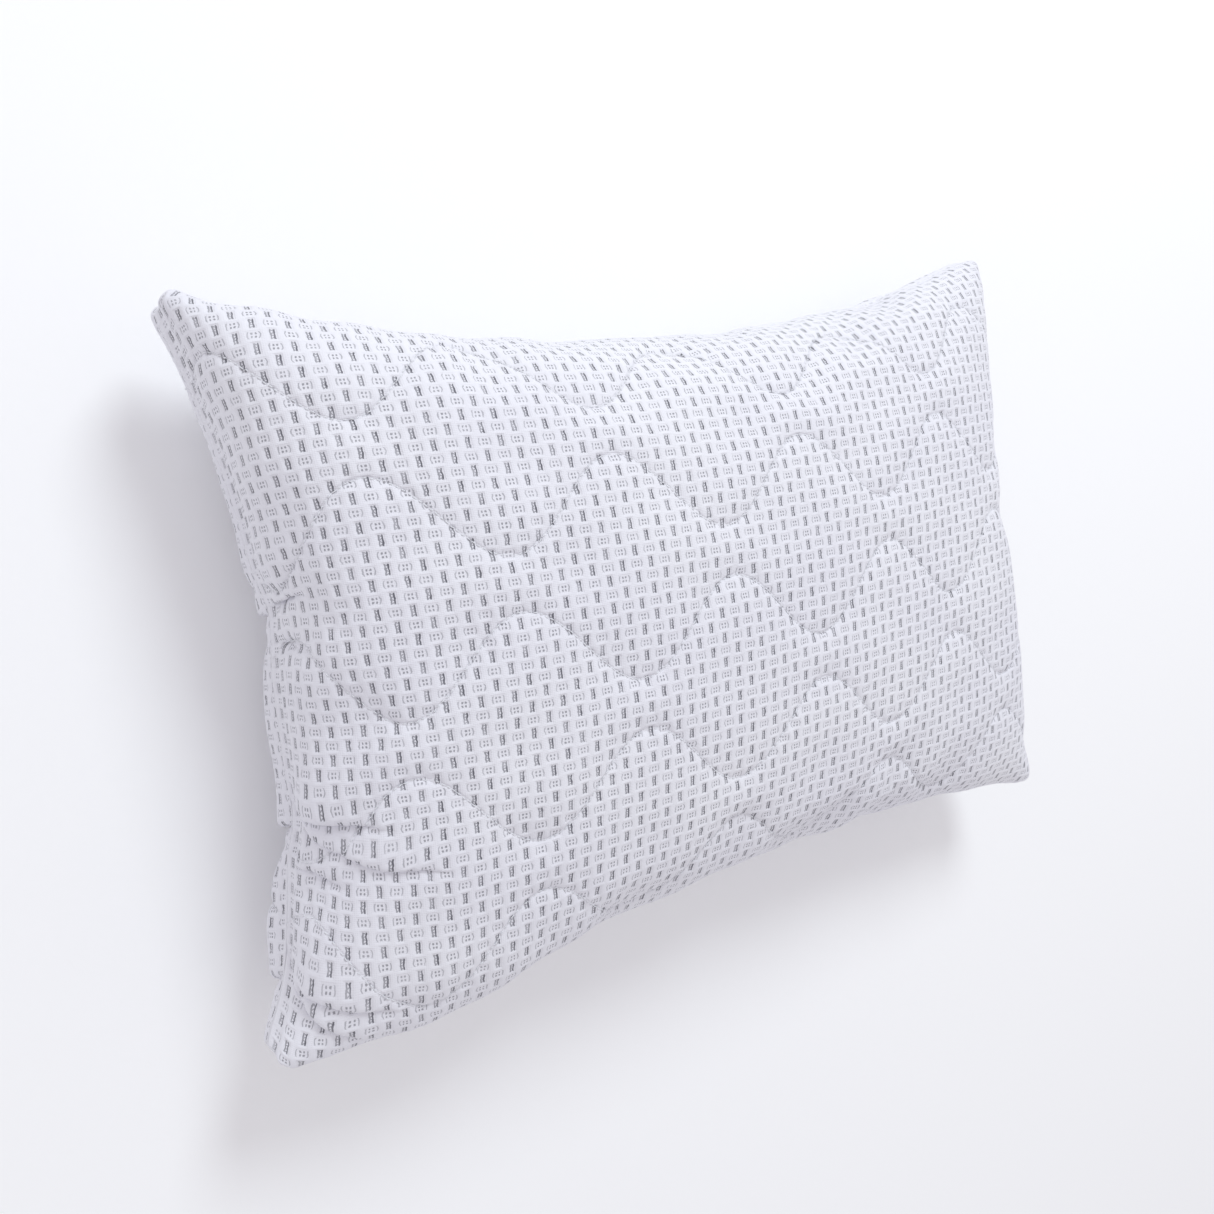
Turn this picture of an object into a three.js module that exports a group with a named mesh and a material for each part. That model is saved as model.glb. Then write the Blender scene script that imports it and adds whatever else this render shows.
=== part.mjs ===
import * as THREE from 'three';

// A quilted bed pillow lying on its back panel. Millimetres, +Z up, +X along its length.
// The origin is on the surface that it lies on, below the middle of its box.

// stuffed size: corner to corner, and how far the middle of each edge draws in between corners
const pillowLength = 680;
const pillowWidth = 454;
const endDrawIn = 35;
const headDrawIn = 51;
const neckDrawIn = 29;

// loft: the front panel's crown, the back panel's belly, and where the resting surface flattens it
const frontRise = 102;
const backDepth = 74;
const restDepth = 62;
const headLean = 0.1; // the filling sits towards the head edge and the -X end, so the crown leans that way
const endLean = 0.15;
const edgeSquareness = 2.2;
const edgeSteepness = 0.336;
const drawInRoundness = 0.9;

// each panel's layers, from the outside in
const faceThickness = 1.4;
const waddingThickness = 5;
const backingThickness = 0.6;
const layerGap = 0.5; // measured along the pillow's axes
const seamGap = 1.4; // between the two panels' turned edges

// quilting: wavy chain-stitched rows, each half a wave along from the next
const quiltWaveLength = 147;
const quiltWaveHeight = 52; // lowest to highest point of a row
const quiltRowSpacing = 84;
const quiltRowCount = 5;
const quiltMiddleRowY = -4;
const quiltFirstPeakX = -30; // a peak of the middle row
const quiltRowEndMargin = 10; // a row stops this far short of the seam
const quiltThreadDiameter = 0.8;
const quiltThreadGap = 1.2; // inside the face fabric, which the stitches pull down
const quiltThreadRoom = 4.8; // face fabric to wadding, where the quilting thread lies

// perimeter: seam thread, overlocked raw edge and the part that is closed after filling
const seamThreadDiameter = 0.6;
const seamThreadInset = 3;
const overlockThreadDiameter = 0.6;
const seamAllowance = 10; // seam line to the overlocked raw edge inside
const closingSeamLength = 260;
const threadEndGap = 0.6;
const fillGap = 0.5;
const fillEdgeGap = 1.5; // the filling stops short of the overlocked edge

// facets
const cellsAlong = 18;
const cellsAcross = 14;
const threadSides = 3;
const quiltThreadSteps = 64;

const halfLength = pillowLength / 2;
const halfWidth = pillowWidth / 2;
const waddingInset = faceThickness + quiltThreadRoom;
const backingInset = waddingInset + waddingThickness + layerGap;
const panelThickness = backingInset + backingThickness;
const fillInset = panelThickness + fillGap;
const overlockInnerEdge = seamAllowance + overlockThreadDiameter / 2;
const fillEdgeInset = Math.max(overlockInnerEdge + fillEdgeGap, fillInset);

const materials = {
  face: () => new THREE.MeshStandardMaterial({ color: 0xe8e9f0, roughness: 0.95, metalness: 0 }),
  wadding: () => new THREE.MeshStandardMaterial({ color: 0xf4f4f1, roughness: 1, metalness: 0 }),
  backing: () => new THREE.MeshStandardMaterial({ color: 0xeeeeec, roughness: 0.9, metalness: 0 }),
  fill: () => new THREE.MeshStandardMaterial({ color: 0xf7f7f5, roughness: 1, metalness: 0 }),
  thread: () => new THREE.MeshStandardMaterial({ color: 0xf2f3f6, roughness: 0.7, metalness: 0 }),
};

function solid(name, geometry, material) {
  const mesh = new THREE.Mesh(geometry, material);
  mesh.name = name;
  return mesh;
}

// how full the pillow is at (u, v), each -1 to 1 across the panel: 1 at the crown, 0 on the seam
function fullness(u, v) {
  const along = 1 - Math.abs(u) ** edgeSquareness;
  const across = 1 - Math.abs(v) ** edgeSquareness;
  return Math.max(along * across, 0) ** edgeSteepness;
}

function drawIn(depth, position) {
  return depth * Math.max(1 - position ** 2, 0) ** drawInRoundness;
}

// where (u, v) lies in plan, on an outline that is a given inset inside the seam
function planPoint(u, v, inset) {
  const longEdgeDrawIn = v > 0 ? headDrawIn : neckDrawIn;
  return {
    x: u * (halfLength - inset - drawIn(endDrawIn, v)),
    y: v * (halfWidth - inset - drawIn(longEdgeDrawIn, u)),
  };
}

// a panel seen as a dome over the seam plane; the back one is flat where it rests
function panelPoint(side, u, v, planInset, heightInset) {
  const { x, y } = planPoint(u, v, planInset);
  const rim = restDepth + (side * seamGap) / 2;
  if (side > 0) {
    const crown = (frontRise - heightInset) * (1 + headLean * v - endLean * u);
    return new THREE.Vector3(x, y, rim + crown * fullness(u, v));
  }
  const belly = (backDepth - heightInset) * fullness(u, v);
  return new THREE.Vector3(x, y, Math.max(rim - belly, heightInset));
}

// grid lines crowd towards the seam, where the panels turn steeply
function gridParameter(index, cells) {
  return Math.sin((index / cells - 0.5) * Math.PI);
}

function panelGrid(side, planInset, heightInset) {
  const points = [];
  for (let i = 0; i <= cellsAlong; i++) {
    for (let j = 0; j <= cellsAcross; j++) {
      const u = gridParameter(i, cellsAlong);
      const v = gridParameter(j, cellsAcross);
      points.push(panelPoint(side, u, v, planInset, heightInset));
    }
  }
  return points;
}

function gridIndex(i, j) {
  return i * (cellsAcross + 1) + j;
}

// each cell is split along the diagonal that runs from the pillow's corner towards its crown
function splitsForward(i, j) {
  return i < cellsAlong / 2 === j < cellsAcross / 2;
}

function cellTriangles(a, b, c, d, forward) {
  return forward ? [a, b, c, a, c, d] : [a, b, d, b, c, d];
}

function gridFaces(offset, flipped) {
  const faces = [];
  for (let i = 0; i < cellsAlong; i++) {
    for (let j = 0; j < cellsAcross; j++) {
      const a = offset + gridIndex(i, j);
      const b = offset + gridIndex(i + 1, j);
      const c = offset + gridIndex(i + 1, j + 1);
      const d = offset + gridIndex(i, j + 1);
      const triangles = cellTriangles(a, b, c, d, splitsForward(i, j));
      faces.push(...(flipped ? triangles.reverse() : triangles));
    }
  }
  return faces;
}

// the grid's border, counter-clockwise seen from above
function borderIndices() {
  const border = [];
  for (let i = 0; i < cellsAlong; i++) border.push(gridIndex(i, 0));
  for (let j = 0; j < cellsAcross; j++) border.push(gridIndex(cellsAlong, j));
  for (let i = cellsAlong; i > 0; i--) border.push(gridIndex(i, cellsAcross));
  for (let j = cellsAcross; j > 0; j--) border.push(gridIndex(0, j));
  return border;
}

// two grids joined round their borders make one closed body
function bodyBetweenGrids(upper, lower) {
  const offset = upper.length;
  const faces = [...gridFaces(0, false), ...gridFaces(offset, true)];
  const border = borderIndices();
  border.forEach((here, k) => {
    const next = border[(k + 1) % border.length];
    faces.push(here, offset + here, offset + next, here, offset + next, next);
  });
  const geometry = new THREE.BufferGeometry();
  const positions = [...upper, ...lower].flatMap((point) => point.toArray());
  geometry.setAttribute('position', new THREE.Float32BufferAttribute(positions, 3));
  geometry.setIndex(faces);
  geometry.computeVertexNormals();
  return geometry;
}

// one layer of a panel: an open bowl between two nested domes
function panelLayer(side, outerInset, thickness) {
  const outer = panelGrid(side, outerInset, outerInset);
  const inner = panelGrid(side, outerInset + thickness, outerInset + thickness);
  return side > 0 ? bodyBetweenGrids(outer, inner) : bodyBetweenGrids(inner, outer);
}

function fibreFill() {
  const top = panelGrid(1, fillEdgeInset, fillInset);
  const bottom = panelGrid(-1, fillEdgeInset, fillInset);
  return bodyBetweenGrids(top, bottom);
}

// a point on the facets of a nested dome, so that a thread keeps its gap to the flat facets
function facetPoint(side, u, v, inset) {
  const column = (Math.asin(THREE.MathUtils.clamp(u, -1, 1)) / Math.PI + 0.5) * cellsAlong;
  const row = (Math.asin(THREE.MathUtils.clamp(v, -1, 1)) / Math.PI + 0.5) * cellsAcross;
  const i = Math.min(Math.floor(column), cellsAlong - 1);
  const j = Math.min(Math.floor(row), cellsAcross - 1);
  const forward = splitsForward(i, j);
  const s = forward ? column - i : 1 - (column - i);
  const t = row - j;
  const corner = (di, dj) => {
    const cornerU = gridParameter(forward ? i + di : i + 1 - di, cellsAlong);
    const cornerV = gridParameter(j + dj, cellsAcross);
    return panelPoint(side, cornerU, cornerV, inset, inset);
  };
  const start = corner(0, 0);
  const far = corner(1, 1);
  const turn = s > t ? corner(1, 0) : corner(0, 1);
  const first = Math.max(s, t);
  const second = Math.min(s, t);
  return start
    .multiplyScalar(1 - first)
    .addScaledVector(turn, first - second)
    .addScaledVector(far, second);
}

// distance over the pillow along a centre line, turned into the panel's parameter
function centreLineScale(alongLength) {
  const samples = 200;
  const line = [];
  for (let k = 0; k <= samples; k++) {
    const parameter = gridParameter(k, samples);
    const point = alongLength ? panelPoint(1, parameter, 0, 0, 0) : panelPoint(1, 0, parameter, 0, 0);
    const previous = line[k - 1];
    const distance = previous ? previous.distance + previous.point.distanceTo(point) : 0;
    line.push({ parameter, point, distance });
  }
  const middle = line[samples / 2].distance;
  const toParameter = (distance) => {
    const wanted = THREE.MathUtils.clamp(distance + middle, 0, line[samples].distance);
    const next = Math.max(line.findIndex((entry) => entry.distance >= wanted), 1);
    const [low, high] = [line[next - 1], line[next]];
    const share = (wanted - low.distance) / (high.distance - low.distance);
    return THREE.MathUtils.lerp(low.parameter, high.parameter, share);
  };
  return { toParameter, reach: Math.min(middle, line[samples].distance - middle) };
}

const lengthScale = centreLineScale(true);
const widthScale = centreLineScale(false);

function threadTube(points, diameter, steps) {
  const section = new THREE.Shape();
  for (let k = 0; k < threadSides; k++) {
    const angle = (k / threadSides) * 2 * Math.PI;
    const x = (diameter / 2) * Math.cos(angle);
    const y = (diameter / 2) * Math.sin(angle);
    if (k === 0) section.moveTo(x, y);
    else section.lineTo(x, y);
  }
  const extrudePath = new THREE.CatmullRomCurve3(points, false, 'centripetal');
  return new THREE.ExtrudeGeometry(section, { steps, extrudePath, bevelEnabled: false });
}

// rows are counted from the -Y edge; odd and even rows are half a wave apart
function quiltingRow(side, row) {
  const rowsFromMiddle = row - (quiltRowCount - 1) / 2;
  const rowY = quiltMiddleRowY + rowsFromMiddle * quiltRowSpacing;
  const peakX = quiltFirstPeakX + (rowsFromMiddle * quiltWaveLength) / 2;
  const reach = lengthScale.reach - quiltRowEndMargin;
  const inset = faceThickness + quiltThreadGap + quiltThreadDiameter / 2;
  const points = [];
  for (let k = 0; k <= quiltThreadSteps; k++) {
    const along = THREE.MathUtils.lerp(-reach, reach, k / quiltThreadSteps);
    const phase = ((along - peakX) / quiltWaveLength) * 2 * Math.PI;
    const across = rowY + (quiltWaveHeight / 2) * Math.cos(phase);
    const u = lengthScale.toParameter(along);
    const v = widthScale.toParameter(across);
    points.push(facetPoint(side, u, v, inset));
  }
  return threadTube(points, quiltThreadDiameter, quiltThreadSteps);
}

// the panel grid's own edge points between two places on the -Y edge, so that they share facets
function gridParametersBetween(low, high, cells) {
  const inside = [];
  for (let k = 0; k <= cells; k++) {
    const parameter = gridParameter(k, cells);
    if (parameter > low && parameter < high) inside.push(parameter);
  }
  return [low, ...inside, high];
}

function edgePoint(u, v, inset) {
  const { x, y } = planPoint(u, v, inset);
  return new THREE.Vector2(x, y);
}

// once round the pillow's edge, leaving a length open in the middle of the -Y edge
function roundEdge(inset, openLength) {
  const openU = openLength / 2 / (halfLength - inset);
  const rest = gridParametersBetween(openU, 1, cellsAlong);
  const across = gridParametersBetween(-1, 1, cellsAcross).slice(1);
  const back = gridParametersBetween(-1, 1, cellsAlong).slice(1);
  return [
    ...rest.map((u) => edgePoint(u, -1, inset)),
    ...across.map((v) => edgePoint(1, v, inset)),
    ...back.map((u) => edgePoint(-u, 1, inset)),
    ...across.map((v) => edgePoint(-1, -v, inset)),
    ...rest.slice(0, -1).map((u) => edgePoint(-u, -1, inset)).reverse(),
  ];
}

// the stretch of the -Y edge that is sewn shut once the filling is in
function closingStretch(inset, length) {
  const endU = length / 2 / (halfLength - inset);
  const along = gridParametersBetween(-endU, endU, cellsAlong);
  return along.map((u) => edgePoint(u, -1, inset));
}

// a thread lying flat between the panels, in the seam plane
function edgeThread(lineAtInset, inset, diameter, length) {
  const outer = lineAtInset(inset - diameter / 2, length);
  const inner = lineAtInset(inset + diameter / 2, length).reverse();
  const shape = new THREE.Shape([...outer, ...inner]);
  const geometry = new THREE.ExtrudeGeometry(shape, { depth: diameter, bevelEnabled: false });
  geometry.translate(0, 0, restDepth - diameter / 2);
  return geometry;
}

function panel(side, sideName) {
  const group = new THREE.Group();
  const face = panelLayer(side, 0, faceThickness);
  const wadding = panelLayer(side, waddingInset, waddingThickness);
  const backing = panelLayer(side, backingInset, backingThickness);
  group.add(
    solid(`${sideName}_face_fabric`, face, materials.face()),
    solid(`${sideName}_wadding`, wadding, materials.wadding()),
    solid(`${sideName}_backing`, backing, materials.backing()),
  );
  for (let row = 0; row < quiltRowCount; row++) {
    const name = `${sideName}_quilting_row_${row + 1}`;
    group.add(solid(name, quiltingRow(side, row), materials.thread()));
  }
  return group;
}

function perimeter() {
  const group = new THREE.Group();
  const seamWidth = seamThreadDiameter;
  const overlockWidth = overlockThreadDiameter;
  const closingLength = closingSeamLength - 2 * threadEndGap;
  const seam = edgeThread(roundEdge, seamThreadInset, seamWidth, closingSeamLength);
  const overlock = edgeThread(roundEdge, seamAllowance, overlockWidth, closingSeamLength);
  const closing = edgeThread(closingStretch, seamThreadInset, seamWidth, closingLength);
  group.add(
    solid('perimeter_seam_thread', seam, materials.thread()),
    solid('overlock_thread', overlock, materials.thread()),
    solid('closing_seam_thread', closing, materials.thread()),
  );
  return group;
}

const pillow = new THREE.Group();
pillow.add(panel(1, 'front'), panel(-1, 'back'), perimeter());
pillow.add(solid('fibre_fill', fibreFill(), materials.fill()));

export default pillow;
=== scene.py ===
# Quilted bed pillow: two knitted panels over wadding, wavy stitched rows and a fibre filling.
# It lies on its back panel. Metres, +Z up, +X along its length, +Y towards the head edge.
import math
import bpy
import numpy as np
from mathutils import Matrix, Vector


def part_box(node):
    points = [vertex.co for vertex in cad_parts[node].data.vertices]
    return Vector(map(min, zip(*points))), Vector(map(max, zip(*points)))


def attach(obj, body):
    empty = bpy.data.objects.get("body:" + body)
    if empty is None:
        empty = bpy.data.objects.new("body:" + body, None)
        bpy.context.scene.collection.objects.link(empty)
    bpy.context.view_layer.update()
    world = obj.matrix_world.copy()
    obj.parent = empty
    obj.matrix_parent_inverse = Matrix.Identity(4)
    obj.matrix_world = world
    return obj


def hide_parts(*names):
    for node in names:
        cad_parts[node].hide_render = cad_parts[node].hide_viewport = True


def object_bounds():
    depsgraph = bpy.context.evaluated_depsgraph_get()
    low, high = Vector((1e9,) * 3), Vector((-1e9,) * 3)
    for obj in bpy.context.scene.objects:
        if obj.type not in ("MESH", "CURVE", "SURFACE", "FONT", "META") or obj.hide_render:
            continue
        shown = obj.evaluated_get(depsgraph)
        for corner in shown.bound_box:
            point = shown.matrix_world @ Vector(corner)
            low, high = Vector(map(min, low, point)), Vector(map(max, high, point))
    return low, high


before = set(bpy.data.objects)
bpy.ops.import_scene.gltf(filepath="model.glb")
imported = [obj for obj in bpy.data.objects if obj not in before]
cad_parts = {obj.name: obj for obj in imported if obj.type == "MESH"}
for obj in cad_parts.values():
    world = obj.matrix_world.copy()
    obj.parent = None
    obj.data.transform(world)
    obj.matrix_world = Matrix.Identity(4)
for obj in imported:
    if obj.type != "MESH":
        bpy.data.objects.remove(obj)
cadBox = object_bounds()
mm = 0.001


# sRGB hex to the linear colour that a shader socket takes
def hexColour(text):
    parts = [int(text[k:k + 2], 16) / 255 for k in (0, 2, 4)]
    linear = [c / 12.92 if c <= 0.04045 else ((c + 0.055) / 1.055) ** 2.4 for c in parts]
    return (*linear, 1.0)


# adds one node with its settings, then fills its inputs in order: a node stands for its first output,
# and None leaves an input as it is
def addNode(tree, kind, settings, *values):
    node = tree.nodes.new(kind)
    for key, value in settings.items():
        setattr(node, key, value)
    for socket, value in zip(node.inputs, values):
        if isinstance(value, bpy.types.Node):
            value = value.outputs[0]
        if isinstance(value, bpy.types.NodeSocket):
            tree.links.new(value, socket)
        elif value is not None:
            socket.default_value = value
    return node


def newMaterial(name):
    material = bpy.data.materials.new(name)
    material.use_nodes = True
    tree = material.node_tree
    tree.nodes.clear()
    shader = tree.nodes.new("ShaderNodeBsdfPrincipled")
    output = tree.nodes.new("ShaderNodeOutputMaterial")
    tree.links.new(shader.outputs[0], output.inputs[0])
    return material, tree, shader


# gives a shader its colour, its relief from a height with a strength and a distance, and plain values
def dressShader(tree, shader, colour, height, relief, values):
    bump = addNode(tree, "ShaderNodeBump", {}, *relief)
    tree.links.new(height.outputs[0], bump.inputs["Height"])
    tree.links.new(bump.outputs[0], shader.inputs["Normal"])
    tree.links.new(colour, shader.inputs["Base Color"])
    for key, value in values.items():
        shader.inputs[key].default_value = value


# a smooth rise from 0 at low to 1 at high: three times the share squared less twice its cube
def smoothStep(low, high, x):
    share = np.clip((x - low) / (high - low), 0, 1)
    return share * share * (3 - 2 * share)


# smooth noise: a few sine waves of random direction, each about the given length
def waveNoise(x, y, length, seed, waves=7):
    source = np.random.default_rng(seed)
    total = np.zeros(x.shape)
    for _ in range(waves):
        angle = source.uniform(0, 2 * np.pi)
        number = 2 * np.pi / (length * source.uniform(0.7, 1.4))
        phase = source.uniform(0, 2 * np.pi)
        total += np.sin(number * (x * np.cos(angle) + y * np.sin(angle)) + phase)
    return total / math.sqrt(waves)


# a smooth-shaded mesh object from points and a list of face arrays, each all triangles or all quads;
# uv and attributes hold one value for each point
def meshObject(name, points, faceArrays, material, uv=None, attributes=None):
    mesh = bpy.data.meshes.new(name)
    corners = np.concatenate([np.asarray(f, dtype=np.int32).ravel() for f in faceArrays])
    sides = np.concatenate([np.full(len(f), len(f[0]), dtype=np.int32) for f in faceArrays])
    mesh.vertices.add(len(points))
    mesh.vertices.foreach_set("co", np.asarray(points, dtype=np.float32).ravel())
    mesh.loops.add(len(corners))
    mesh.loops.foreach_set("vertex_index", corners)
    mesh.polygons.add(len(sides))
    mesh.polygons.foreach_set("loop_start", np.concatenate([[0], np.cumsum(sides)[:-1]]).astype(np.int32))
    mesh.update(calc_edges=True)
    mesh.polygons.foreach_set("use_smooth", np.ones(len(sides), dtype=bool))
    if uv is not None:
        layer = mesh.uv_layers.new(name="flatPanel")
        layer.data.foreach_set("uv", np.asarray(uv, dtype=np.float32)[corners].ravel())
    for key, values in (attributes or {}).items():
        mesh.attributes.new(key, "FLOAT", "POINT").data.foreach_set("value", values.astype(np.float32))
    mesh.materials.append(material)
    piece = bpy.data.objects.new(name, mesh)
    bpy.context.collection.objects.link(piece)
    return piece


# quads of a grid of rows by columns points; flipped turns them over
def gridQuads(rows, columns, flipped=False, start=0):
    index = start + np.arange(rows * columns).reshape(rows, columns)
    a, b, c, d = index[:-1, :-1], index[1:, :-1], index[1:, 1:], index[:-1, 1:]
    order = (a, d, c, b) if flipped else (a, b, c, d)
    return np.stack(order, -1).reshape(-1, 4)


# the border of a grid of points as one loop of indices, counter-clockwise seen from +Z
def gridBorder(rows, columns, start=0):
    index = start + np.arange(rows * columns).reshape(rows, columns)
    return np.concatenate([index[:-1, 0], index[-1, :-1], index[:0:-1, -1], index[0, :0:-1]])


camera = {
    "azimuth": 167.7,  # degrees round from +X: it looks along the pillow from its -X end
    "elevation": 56.3,
    "roll": -7.6,
    "distance": 0.888,
    "aim": (-0.0625, -0.0018),
    "lens": 38.55,
    "sensor": 36.0,
    "clipStart": 0.05,
}


def makeCamera(seamHeight):
    azimuth, elevation, roll = (math.radians(camera[k]) for k in ("azimuth", "elevation", "roll"))
    flat = math.cos(elevation)
    away = Vector((flat * math.cos(azimuth), flat * math.sin(azimuth), math.sin(elevation)))
    aim = Vector((*camera["aim"], seamHeight))
    right = (-away).cross(Vector((0, 1, 0))).normalized()
    up = right.cross(-away)
    turnedRight = right * math.cos(roll) + up * math.sin(roll)
    turnedUp = up * math.cos(roll) - right * math.sin(roll)
    data = bpy.data.cameras.new("camera")
    data.lens = camera["lens"]
    data.sensor_width = camera["sensor"]
    data.clip_start = camera["clipStart"]
    eye = bpy.data.objects.new("camera", data)
    axes = Matrix((turnedRight, turnedUp, away)).transposed().to_4x4()
    eye.matrix_world = Matrix.Translation(aim + away * camera["distance"]) @ axes
    bpy.context.collection.objects.link(eye)
    bpy.context.scene.camera = eye


low, high = (np.array(corner) for corner in cadBox)
seamBox = np.array(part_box("perimeter_seam_thread"))
seamHeight = float(seamBox[:, 2].mean())
makeCamera(seamHeight)
print("camera made")


shape = {
    "cutLength": 0.700,  # flat panel, seam to seam
    "cutWidth": 0.500,
    "endDrawIn": 0.035,  # how far the middle of each edge sinks in between its corners
    "headDrawIn": 0.051,
    "neckDrawIn": 0.029,
    "drawInRoundness": 0.9,
    "squareness": 2.2,
    "steepness": 0.336,
    "frontRise": 0.1047,  # of the crown over the seam
    "headLean": 0.1,  # the crown lies nearer the head edge and the -X end
    "endLean": 0.15,
    "backDepth": 0.074,
    "earBulk": 7 * mm,  # the turned seam allowances thicken each corner
    "earReach": 42 * mm,
    "earBlunting": 7 * mm,
    "earTip": 15 * mm,
    "tipTuck": 3.5 * mm,  # the very point of the seam is turned in
    "tipReach": 7 * mm,
    "evenRounds": 12,  # rounds of spacing the grid evenly
}

# the distances to the seam at which each part of the surface begins and is full
takesHold = {
    "earBulk": (0, 12 * mm),
    "settling": (0, 26 * mm),
    "unevenness": (0, 20 * mm),
    "slide": (0, 12 * mm),
    "weave": (0, 10 * mm),
    "folds": (-4 * mm, 30 * mm),
    "seam": (-1 * mm, 1.5 * mm),
    "quilting": (4 * mm, 20 * mm),
}

# where the filling has settled or pulled away, each a soft push on the panels near a flat place:
# sides (1 front, -1 back), place and reach on the flat panel, and the move, all in mm
settling = [
    {"sides": (1,), "place": (-235, -225), "reach": (80, 60), "move": (0, -11, 8)},
    {"sides": (1,), "place": (-60, -235), "reach": (150, 50), "move": (0, -3, 2)},
    {"sides": (1,), "place": (330, -70), "reach": (90, 120), "move": (5, 0, 7)},
    {"sides": (-1,), "place": (-350, -35), "reach": (80, 50), "move": (-5, 0, 0)},
    {"sides": (-1,), "place": (-350, -155), "reach": (80, 45), "move": (-12, 0, 0)},
    {"sides": (1, -1), "place": (-350, -92), "reach": (60, 20), "move": (3, 0, 0), "seam": True},
    {"sides": (1, -1), "place": (-350, 38), "reach": (60, 26), "move": (4, 0, 0), "seam": True},
    {"sides": (1, -1), "place": (-350, -250), "reach": (45, 40), "move": (-9, -2, 0), "seam": True},
    {"sides": (1, -1), "place": (350, 250), "reach": (60, 90), "move": (-3, -1, 0), "seam": True},
    {"sides": (1, -1), "place": (-60, -250), "reach": (220, 90), "move": (0, -4, 0), "seam": True},
]

weave = {
    "columns": 72,  # cells of the knitted check along and across one panel
    "rows": 63,
    "relief": 0.65 * mm,
    # where a dip starts to rise and where it ends, from the middle of its cell, in shares of the cell
    "dashWidth": (0.10, 0.36),
    "dashHeight": (0.36, 0.54),
    "markWidth": (0.28, 0.50),
    "markHeight": (0.20, 0.46),
    "markDepth": 0.55,  # as a share of a dash's dip
    "groundPuff": 0.4,
}

# grid steps in a cell of the check
fineness = {1: 6, -1: 4}
coarseSize = (weave["columns"] + 1, weave["rows"] + 1)
halfLength = (high[0] - low[0]) / 2
halfWidth = (high[1] - low[1]) / 2


# a grid of places on the flat panel, and each one's distance to the panel's edge
def flatGrid(size):
    x, y = np.meshgrid(np.linspace(-0.5, 0.5, size[0]) * shape["cutLength"],
                       np.linspace(-0.5, 0.5, size[1]) * shape["cutWidth"], indexing="ij")
    edge = np.minimum(shape["cutLength"] / 2 - np.abs(x), shape["cutWidth"] / 2 - np.abs(y))
    return x, y, edge


def cornerDistance(x, y):
    return np.hypot(shape["cutLength"] / 2 - np.abs(x), shape["cutWidth"] / 2 - np.abs(y))


# a dome over the seam's outline. In plan x = u (half length - draw-in), y = v (half width - draw-in),
# where each draw-in fades towards the corners as (1 - position squared) to a power; its height is the
# rise times ((1 - |u|^n) (1 - |v|^n)) to a power, with a lean that raises one side and lowers the other
def domePoints(u, v, side):
    endDraw = shape["endDrawIn"] * (1 - v ** 2) ** shape["drawInRoundness"]
    longDraw = np.where(v > 0, shape["headDrawIn"], shape["neckDrawIn"])
    longDraw = longDraw * (1 - u ** 2) ** shape["drawInRoundness"]
    n = shape["squareness"]
    full = ((1 - np.abs(u) ** n) * (1 - np.abs(v) ** n)) ** shape["steepness"]
    x = u * (halfLength - endDraw)
    y = v * (halfWidth - longDraw)
    if side > 0:
        lean = 1 + shape["headLean"] * v - shape["endLean"] * u
        z = seamHeight + shape["frontRise"] * lean * full
    else:
        z = np.maximum(seamHeight - shape["backDepth"] * full, 0)
    return np.stack([x, y, z], -1)


# spreads (u, v) so that grid points lie evenly over the dome: each line along the length, then each
# line across, is spaced again by its running length
def evenGrid(size, side):
    spread = [np.sin(np.linspace(-0.5, 0.5, n) * np.pi) for n in size]
    u, v = np.meshgrid(*spread, indexing="ij")
    for _ in range(shape["evenRounds"]):
        for axis, grid in ((0, u), (1, v)):
            points = domePoints(u, v, side)
            step = np.linalg.norm(np.diff(points, axis=axis), axis=-1)
            run = np.insert(np.cumsum(step, axis=axis), 0, 0, axis=axis)
            lines = zip(np.moveaxis(run, axis, -1), np.moveaxis(grid, axis, -1))
            even = [np.interp(np.linspace(0, r[-1], len(r)), r, g) for r, g in lines]
            grid[...] = np.moveaxis(np.array(even), -1, axis)
    return domePoints(u, v, side)


# the corners are blunt, thick ears: by bell curves of the distance to its corner, a point moves in along the
# diagonal and away from the other panel
def shapeEars(points, side):
    x, y, edge = flatGrid(points.shape[:2])
    corner = cornerDistance(x, y)
    bulk = shape["earBulk"] * np.exp(-(corner / shape["earReach"]) ** 2)
    bulk *= smoothStep(*takesHold["earBulk"], edge)
    blunt = shape["earBlunting"] * np.exp(-(corner / shape["earTip"]) ** 2)
    points = points.copy()
    points[..., 0] -= np.sign(x) * blunt
    points[..., 1] -= np.sign(y) * blunt
    points[..., 2] += side * bulk
    return points


# each push fades as a bell curve with the distance to its place, and leaves the seam where it is unless it
# says so
def settlePoints(points, side):
    x, y, edge = flatGrid(points.shape[:2])
    points = points.copy()
    for push in settling:
        if side in push["sides"]:
            place, reach = (np.array(push[k]) * mm for k in ("place", "reach"))
            weight = np.exp(-((x - place[0]) / reach[0]) ** 2 - ((y - place[1]) / reach[1]) ** 2)
            if not push.get("seam"):
                weight *= smoothStep(*takesHold["settling"], edge)
            points += weight[..., None] * np.array(push["move"]) * mm
    return points


cloth = {
    "frames": 24,
    "solver": {
        "quality": 6,
        "mass": 0.05,  # at each point
        "air_damping": 2,
        "tension_stiffness": 80,
        "compression_stiffness": 80,
        "shear_stiffness": 20,
        "bending_stiffness": 0.15,
        "use_pressure": True,
        "uniform_pressure_force": 0.3,
    },
    "unevenness": 1.2 * mm,  # small starting bumps that the edge wrinkles grow from
    "unevenLength": 60 * mm,
    "cap": 7 * mm,
}


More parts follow.
